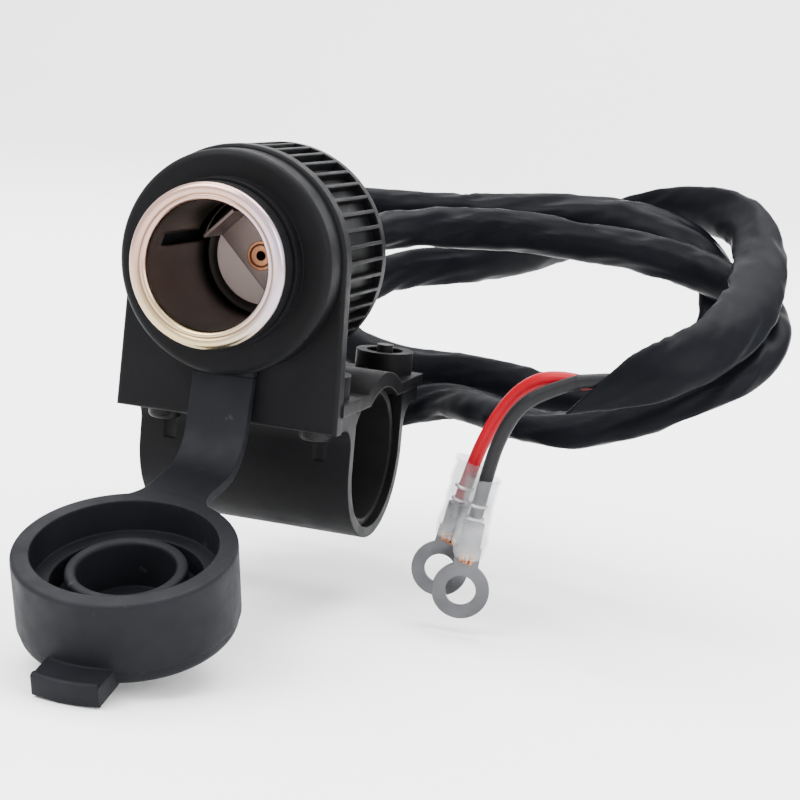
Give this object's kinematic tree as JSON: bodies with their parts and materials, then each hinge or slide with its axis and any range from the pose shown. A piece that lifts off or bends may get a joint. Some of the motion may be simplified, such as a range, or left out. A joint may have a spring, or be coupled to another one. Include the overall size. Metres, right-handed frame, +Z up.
{
  "type": "handlebar accessory power socket",
  "caption": "Black handlebar-mounted accessory power socket with a bar clamp, ribbed rear cap, tethered rubber dust cap and a coiled sleeved lead with ring terminals.",
  "frame": {"origin": "centre of the handlebar bore in the clamp", "axes": "+X along the handlebar, +Y away from the socket's mouth, +Z up"},
  "size_m": [0.1138, 0.158, 0.0797],
  "materials": {
    "moulded_black": "satin",
    "rubber_pad": "matte",
    "cap_rubber": "matte",
    "black_steel": "satin",
    "plated_liner": "satin",
    "pale_board": "matte",
    "contact_strip": "satin",
    "copper_rivet": "satin",
    "brass_tab": "satin",
    "vinyl_sleeve": "satin",
    "red_wire": "satin",
    "black_wire": "satin",
    "tinned_terminal": "satin",
    "clear_vinyl": "glossy"
  },
  "bodies": {
    "socket": {"bracket": "moulded_black", "lower_clamp": "moulded_black", "clamp_pad": "rubber_pad", "clamp_screws": "black_steel", "clamp_nuts": "black_steel", "socket_barrel": "moulded_black", "socket_liner": "plated_liner", "contact_insulator": "pale_board", "rear_insulator": "pale_board", "contact_clip": "contact_strip", "contact_rivet": "copper_rivet", "positive_tab": "brass_tab", "negative_tab": "brass_tab", "positive_connector": "brass_tab", "negative_connector": "brass_tab", "strap_ring": "cap_rubber", "cap_strap": "cap_rubber", "cable_sleeve": "vinyl_sleeve", "red_lead": "red_wire", "black_lead": "black_wire", "positive_inner_lead": "red_wire", "negative_inner_lead": "black_wire", "red_ring_terminal": "tinned_terminal", "black_ring_terminal": "tinned_terminal", "red_terminal_sleeve": "clear_vinyl", "black_terminal_sleeve": "clear_vinyl"},
    "dust_cap": {"dust_cap": "cap_rubber"},
    "rear_cap": {"rear_cap": "moulded_black", "cable_grommet": "rubber_pad"}
  },
  "joints": [
    {"name": "cap_swing", "type": "hinge", "parent": "socket", "child": "dust_cap", "pos_m": [0, -0.03062, 0.00323], "axis": [-1, 0, 0], "range_deg": [-25, 107], "stiffness_Nm_per_rad": 0.03, "springref_deg": 5.16, "deforming": ["cap_strap"]},
    {"name": "rear_cap_turn", "type": "hinge", "parent": "socket", "child": "rear_cap", "pos_m": [0, 0, 0.034], "axis": [0, 1, 0], "continuous": true}
  ]
}
